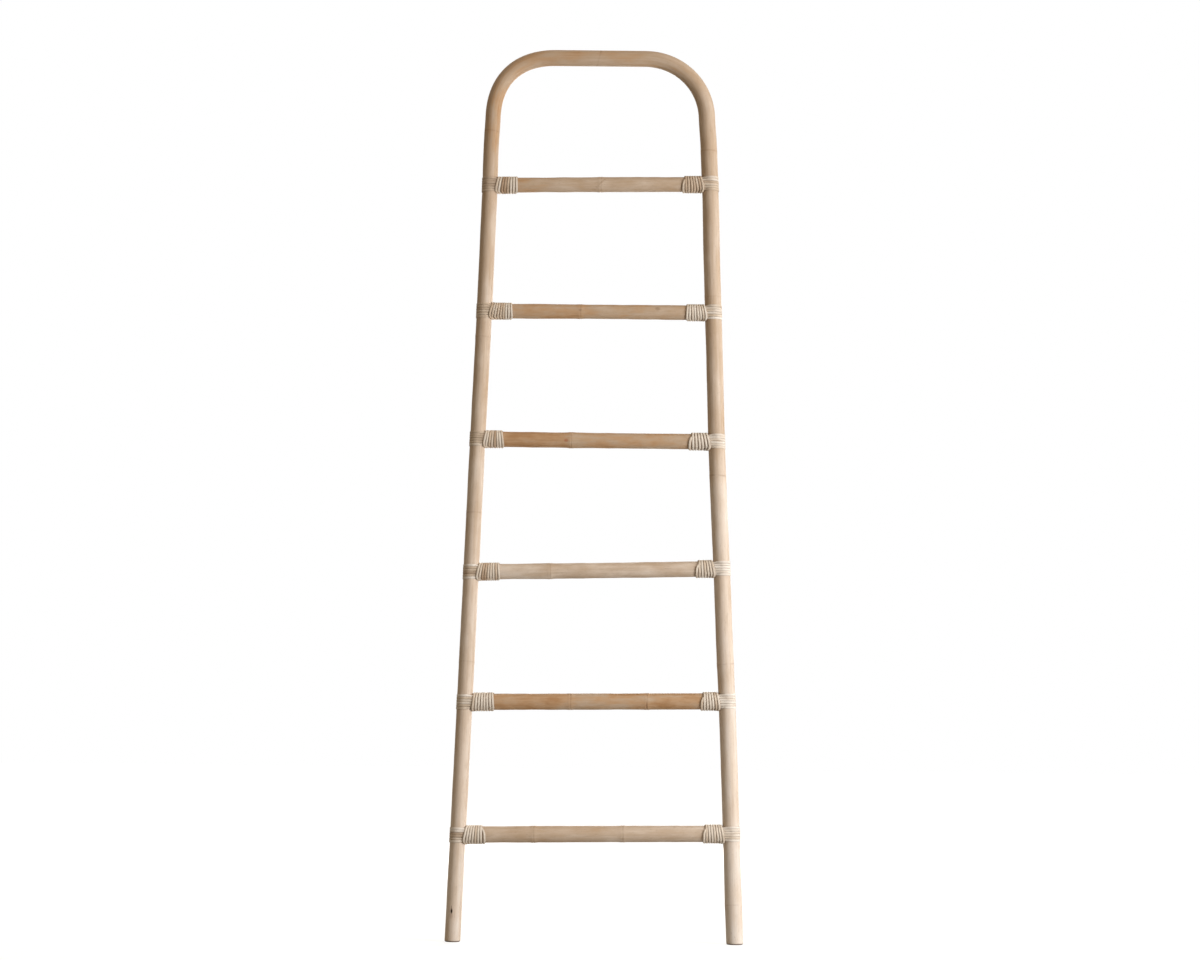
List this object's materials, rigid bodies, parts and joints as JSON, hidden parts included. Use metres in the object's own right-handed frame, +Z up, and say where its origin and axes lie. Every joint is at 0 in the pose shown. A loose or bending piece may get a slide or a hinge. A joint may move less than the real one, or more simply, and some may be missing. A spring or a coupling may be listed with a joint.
{
  "type": "blanket ladder",
  "caption": "Blanket ladder of bent pale cane: an arched one-piece pole with level rungs, each rung end lashed to its leg with wound cane strip.",
  "frame": {"origin": "on the floor, midway between the outer sides of the two feet, in the ladder's own plane", "axes": "+Z up along the ladder, +X to the right seen from the front, -Y towards the front; the ladder stands in its own plane and is leant by whoever places it"},
  "size_m": [0.5887, 0.0388, 1.8],
  "materials": {
    "pole_cane": "skinned cane, thin pale wash, satin",
    "rung_cane": "skinned cane, thin pale wash, satin",
    "saddle_peel": "split cane peel, pale, satin",
    "binding_peel": "split cane peel, pale, satin",
    "nail_steel": "bright wire, hidden"
  },
  "bodies": {
    "root": {"bent_pole": "pole_cane", "rung_1": "rung_cane", "rung_2": "rung_cane", "rung_3": "rung_cane", "rung_4": "rung_cane", "rung_5": "rung_cane", "rung_6": "rung_cane", "saddle_strips_left_1": "saddle_peel", "saddle_strips_left_2": "saddle_peel", "saddle_strips_left_3": "saddle_peel", "saddle_strips_left_4": "saddle_peel", "saddle_strips_left_5": "saddle_peel", "saddle_strips_left_6": "saddle_peel", "saddle_strips_right_1": "saddle_peel", "saddle_strips_right_2": "saddle_peel", "saddle_strips_right_3": "saddle_peel", "saddle_strips_right_4": "saddle_peel", "saddle_strips_right_5": "saddle_peel", "saddle_strips_right_6": "saddle_peel", "binding_coil_left_1": "binding_peel", "binding_coil_left_2": "binding_peel", "binding_coil_left_3": "binding_peel", "binding_coil_left_4": "binding_peel", "binding_coil_left_5": "binding_peel", "binding_coil_left_6": "binding_peel", "binding_coil_right_1": "binding_peel", "binding_coil_right_2": "binding_peel", "binding_coil_right_3": "binding_peel", "binding_coil_right_4": "binding_peel", "binding_coil_right_5": "binding_peel", "binding_coil_right_6": "binding_peel", "joint_nails": "nail_steel"}
  },
  "joints": []
}
